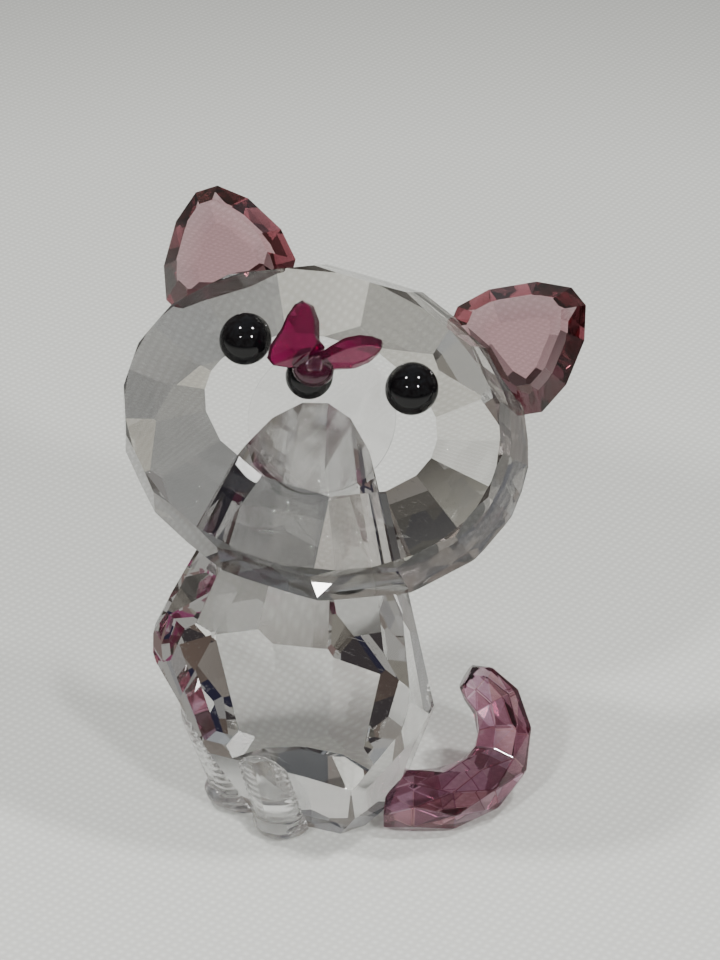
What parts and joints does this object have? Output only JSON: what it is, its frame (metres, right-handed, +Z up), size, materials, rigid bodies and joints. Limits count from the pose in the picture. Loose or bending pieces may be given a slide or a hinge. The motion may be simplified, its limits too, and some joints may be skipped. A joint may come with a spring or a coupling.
{
  "type": "crystal kitten figurine",
  "caption": "Free-standing faceted crystal kitten with a tilted lens-shaped head, rose ears and curled tail, domed black eyes and nose, and a cast butterfly on the nose.",
  "frame": {"origin": "centre of the body's flat base, on the table", "axes": "the chest faces -Y, up is +Z, the kitten's left is +X"},
  "size_m": [0.0333, 0.027, 0.0479],
  "materials": {
    "clear_crystal": "cut and polished",
    "rose_crystal": "cut and polished",
    "lilac_crystal": "moulded and fire polished",
    "fuchsia_crystal": "cast and polished",
    "black_crystal": "polished",
    "adhesive": "cured clear"
  },
  "bodies": {
    "root": {"head": "clear_crystal", "body": "clear_crystal", "foreleg_left": "clear_crystal", "foreleg_right": "clear_crystal", "neck_bond": "adhesive", "ear_left": "rose_crystal", "ear_right": "rose_crystal", "tail": "lilac_crystal", "eye_left": "black_crystal", "eye_right": "black_crystal", "nose": "black_crystal", "butterfly": "fuchsia_crystal"}
  },
  "joints": []
}
